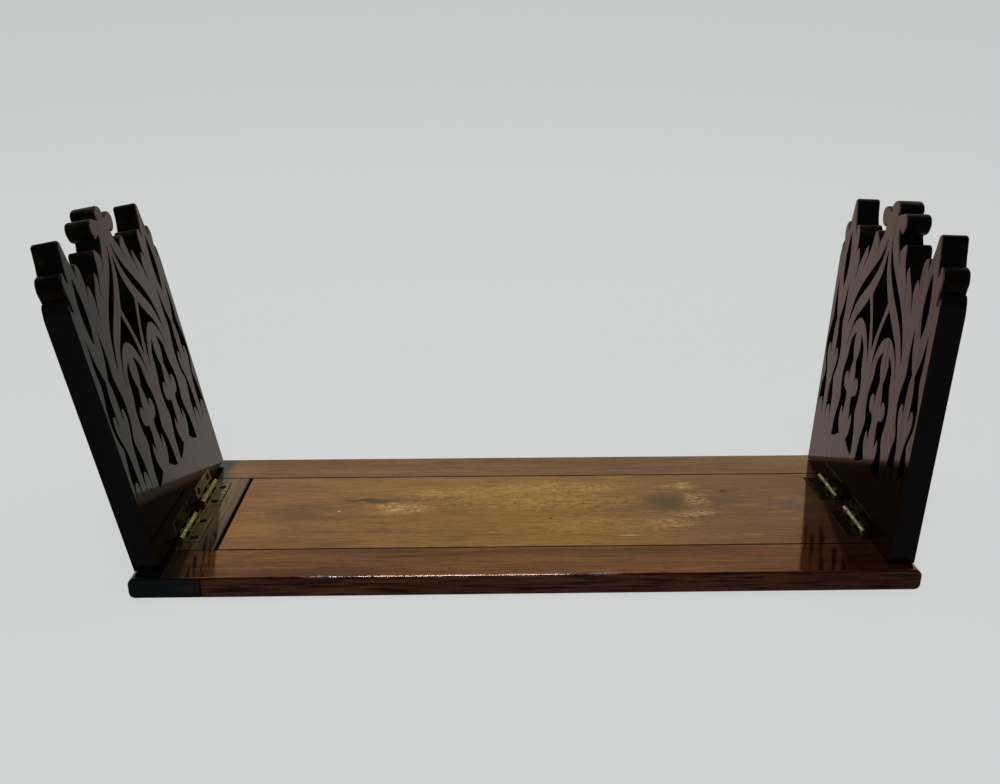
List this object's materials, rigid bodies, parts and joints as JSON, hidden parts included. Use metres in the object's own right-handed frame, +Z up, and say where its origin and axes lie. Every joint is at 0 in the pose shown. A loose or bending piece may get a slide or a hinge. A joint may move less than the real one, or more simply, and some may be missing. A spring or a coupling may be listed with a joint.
{
  "type": "book slide",
  "caption": "Extending wooden book slide: a centre board slides out of grooved rails, and pierced Gothic ends on brass butt hinges stand up to hold books or fold flat.",
  "frame": {"origin": "middle of the closed base at the level of its underside, on the table", "axes": "+X to the right along the base, the way the board slides out; +Y to the back; +Z up"},
  "size_m": [0.4136, 0.138, 0.1765],
  "materials": {
    "rail_wood": "reddish-brown wood, french polished to a deep gloss, worn on the arrises",
    "end_block_wood": "dark end grain, polished",
    "board_wood": "golden-brown figured wood, french polished, faded in the middle",
    "tie_wood": "plain wood, planed and left unpolished",
    "fret_wood": "nearly black rosewood, french polished, matt in the sawn openings",
    "hinge_brass": "dull yellow-green aged brass",
    "pin_brass": "aged brass, bright at the ends",
    "screw_steel": "dull steel with slotted heads"
  },
  "bodies": {
    "rail_frame": {"front_rail": "rail_wood", "rear_rail": "rail_wood", "front_end_block": "end_block_wood", "rear_end_block": "end_block_wood", "left_hinge_block": "rail_wood", "left_tie": "tie_wood", "right_tie": "tie_wood", "left_tie_screws": "screw_steel", "right_tie_screws": "screw_steel", "left_front_base_leaf": "hinge_brass", "left_rear_base_leaf": "hinge_brass", "left_front_pin": "pin_brass", "left_rear_pin": "pin_brass", "left_base_leaf_screws": "screw_steel"},
    "slider": {"centre_board": "board_wood", "foot_strip": "tie_wood", "stop_strip": "tie_wood", "foot_strip_screws": "screw_steel", "stop_strip_screws": "screw_steel", "right_front_base_leaf": "hinge_brass", "right_rear_base_leaf": "hinge_brass", "right_front_pin": "pin_brass", "right_rear_pin": "pin_brass", "right_base_leaf_screws": "screw_steel"},
    "left_end": {"left_fret_end": "fret_wood", "left_front_end_leaf": "hinge_brass", "left_rear_end_leaf": "hinge_brass", "left_end_leaf_screws": "screw_steel"},
    "right_end": {"right_fret_end": "fret_wood", "right_front_end_leaf": "hinge_brass", "right_rear_end_leaf": "hinge_brass", "right_end_leaf_screws": "screw_steel"}
  },
  "joints": [
    {"name": "board_slide", "type": "slide", "parent": "rail_frame", "child": "slider", "axis": [1, 0, 0], "range_m": [0, 0.19]},
    {"name": "left_end_fold", "type": "hinge", "parent": "rail_frame", "child": "left_end", "pos_m": [-0.1748, 0, 0.0124], "axis": [0, 1, 0], "range_deg": [0, 101.1]},
    {"name": "right_end_fold", "type": "hinge", "parent": "slider", "child": "right_end", "pos_m": [0.1748, 0, 0.0124], "axis": [0, -1, 0], "range_deg": [0, 92.8]}
  ]
}
